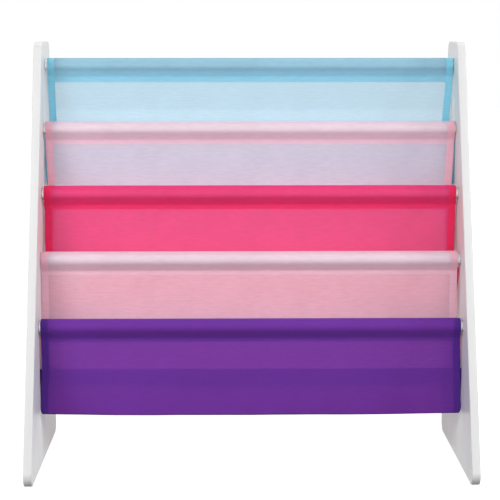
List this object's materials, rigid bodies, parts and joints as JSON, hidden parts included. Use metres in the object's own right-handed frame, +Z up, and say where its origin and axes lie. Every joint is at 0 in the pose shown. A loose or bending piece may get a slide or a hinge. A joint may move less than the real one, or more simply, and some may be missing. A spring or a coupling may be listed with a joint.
{
  "type": "sling bookshelf",
  "caption": "Children's sling bookshelf: white board sides joined by steel rods, with sheer cloth pockets in blue, pink and purple stepped from the top down",
  "frame": {"origin": "on the floor, in the middle of the footprint, midway between the two sides", "axes": "+X along the rods, from the left side to the right side as seen from the front; +Y from the front to the back; +Z up"},
  "size_m": [0.624, 0.3134, 0.6],
  "materials": {
    "board_white": "wood board with a smooth white satin lacquer, edges slightly rounded",
    "rod_steel": "drawn steel tube, satin",
    "bolt_steel": "zinc-plated steel",
    "insert_nylon": "natural moulded nylon",
    "cloth_sky_blue": "sheer plain-woven polyester, sky blue",
    "cloth_light_pink": "sheer plain-woven polyester, light pink",
    "cloth_hot_pink": "sheer plain-woven polyester, hot pink",
    "cloth_purple": "plain-woven polyester, purple"
  },
  "bodies": {
    "root": {"side_panel_left": "board_white", "side_panel_right": "board_white", "rod_1": "rod_steel", "rod_2": "rod_steel", "rod_3": "rod_steel", "rod_4": "rod_steel", "rod_5": "rod_steel", "rod_bolt_1_left": "bolt_steel", "rod_bolt_1_right": "bolt_steel", "rod_bolt_2_left": "bolt_steel", "rod_bolt_2_right": "bolt_steel", "rod_bolt_3_left": "bolt_steel", "rod_bolt_3_right": "bolt_steel", "rod_bolt_4_left": "bolt_steel", "rod_bolt_4_right": "bolt_steel", "rod_bolt_5_left": "bolt_steel", "rod_bolt_5_right": "bolt_steel", "rod_insert_1_left": "insert_nylon", "rod_insert_1_right": "insert_nylon", "rod_insert_2_left": "insert_nylon", "rod_insert_2_right": "insert_nylon", "rod_insert_3_left": "insert_nylon", "rod_insert_3_right": "insert_nylon", "rod_insert_4_left": "insert_nylon", "rod_insert_4_right": "insert_nylon", "rod_insert_5_left": "insert_nylon", "rod_insert_5_right": "insert_nylon", "sling_1_sky_blue": "cloth_sky_blue", "sling_2_light_pink": "cloth_light_pink", "sling_3_hot_pink": "cloth_hot_pink", "sling_4_light_pink": "cloth_light_pink", "front_panel_purple": "cloth_purple"}
  },
  "joints": []
}
